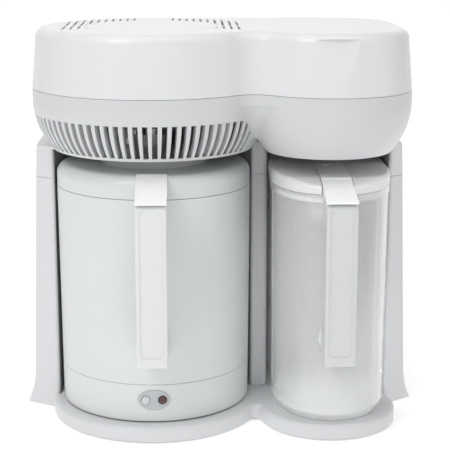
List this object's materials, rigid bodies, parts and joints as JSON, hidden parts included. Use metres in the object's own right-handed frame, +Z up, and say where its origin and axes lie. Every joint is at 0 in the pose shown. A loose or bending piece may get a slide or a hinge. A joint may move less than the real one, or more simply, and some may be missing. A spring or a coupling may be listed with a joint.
{
  "type": "countertop water distiller",
  "caption": "Countertop distiller: a lidded boiler with start button and a clear carafe dock in a stand under a two-lobed head with condenser coil and fan.",
  "frame": {"origin": "middle of the footprint, on the surface that the stand rests on", "axes": "+X to the user's right, +Y away from the user, +Z up"},
  "size_m": [0.394, 0.2561, 0.386],
  "materials": {
    "cover_plastic": "semi-gloss moulded",
    "bowl_plastic": "semi-gloss moulded",
    "stand_plastic": "satin moulded",
    "boiler_plastic": "satin moulded",
    "handle_plastic": "semi-gloss moulded",
    "carafe_lid_plastic": "semi-gloss moulded",
    "clear_plastic": "clear moulded",
    "inner_plastic": "matte",
    "black_plastic": "matte",
    "filter_plastic": "matte",
    "lamp_lens": "clear red, unlit",
    "plate_plastic": "satin",
    "steel": "brushed",
    "screw_steel": "zinc plated",
    "fin_aluminium": "mill finish",
    "brass": "bright",
    "motor_metal": "painted",
    "soft_rubber": "soft grey",
    "black_rubber": "matte",
    "charcoal": "packed granules in a pad"
  },
  "bodies": {
    "stand": {"base_plate": "stand_plastic", "bottom_plate": "inner_plastic", "rubber_feet": "black_rubber", "base_screws": "screw_steel", "stand_tower": "stand_plastic", "tower_shoulder": "stand_plastic", "back_cover": "stand_plastic", "cover_screws": "screw_steel", "power_inlet": "black_plastic", "inlet_pins": "brass", "dock_socket": "black_plastic", "dock_contacts": "brass", "inlet_lead": "black_plastic", "fan_lead": "black_plastic", "lower_housing": "bowl_plastic", "upper_cover": "cover_plastic", "head_screws": "screw_steel", "bracket_screws": "screw_steel", "steam_bellows": "soft_rubber", "steam_inlet": "steel", "condenser_coil": "steel", "condenser_fins": "fin_aluminium", "distillate_tube": "soft_rubber", "drip_nozzle": "bowl_plastic", "fan_bracket": "motor_metal", "fan_motor": "motor_metal"},
    "fan": {"fan_shaft": "steel", "fan_impeller": "black_plastic"},
    "boiler": {"boiler_jacket": "boiler_plastic", "boiler_vessel": "steel", "boiler_base_band": "boiler_plastic", "boiler_bottom_cover": "inner_plastic", "bottom_cover_screws": "screw_steel", "glide_pads": "black_rubber", "heating_element": "steel", "thermostat": "brass", "thermal_fuse": "screw_steel", "boiler_leads": "black_plastic", "boiler_handle": "handle_plastic", "boiler_handle_screws": "screw_steel", "control_plate": "plate_plastic", "indicator_lamp": "lamp_lens", "start_switch": "black_plastic", "boiler_connector": "black_plastic", "connector_pins": "brass"},
    "button": {"start_button": "handle_plastic", "button_spring": "steel"},
    "boiler_top": {"boiler_lid": "boiler_plastic", "lid_liner": "steel", "lid_gasket": "soft_rubber", "lid_tab": "handle_plastic", "steam_outlet": "steel"},
    "carafe": {"carafe_body": "clear_plastic", "carafe_handle": "handle_plastic", "carafe_boss": "handle_plastic"},
    "carafe_top": {"carafe_lid": "carafe_lid_plastic", "carafe_lid_tab": "handle_plastic", "filter_cup": "filter_plastic", "filter_cap": "filter_plastic", "charcoal_filter": "charcoal"}
  },
  "joints": [
    {"name": "fan_spin", "type": "hinge", "parent": "stand", "child": "fan", "pos_m": [-0.0655, 0.012, 0.34], "axis": [0, 0, 1], "continuous": true},
    {"name": "boiler_slide", "type": "slide", "parent": "stand", "child": "boiler", "axis": [0, -1, 0], "range_m": [0, 0.25]},
    {"name": "boiler_lid_lift", "type": "slide", "parent": "boiler", "child": "boiler_top", "axis": [0, 0, 1], "range_m": [0, 0.0045], "deforming": ["steam_bellows"]},
    {"name": "start_button_press", "type": "slide", "parent": "boiler", "child": "button", "axis": [0, 1, 0], "range_m": [0, 0.0025], "stiffness_N_per_m": 400, "springref_m": -0.002, "deforming": ["button_spring"]},
    {"name": "carafe_slide", "type": "slide", "parent": "stand", "child": "carafe", "axis": [0, -1, 0], "range_m": [0, 0.25]},
    {"name": "carafe_lid_lift", "type": "slide", "parent": "carafe", "child": "carafe_top", "axis": [0, 0, 1], "range_m": [0, 0.01]}
  ]
}
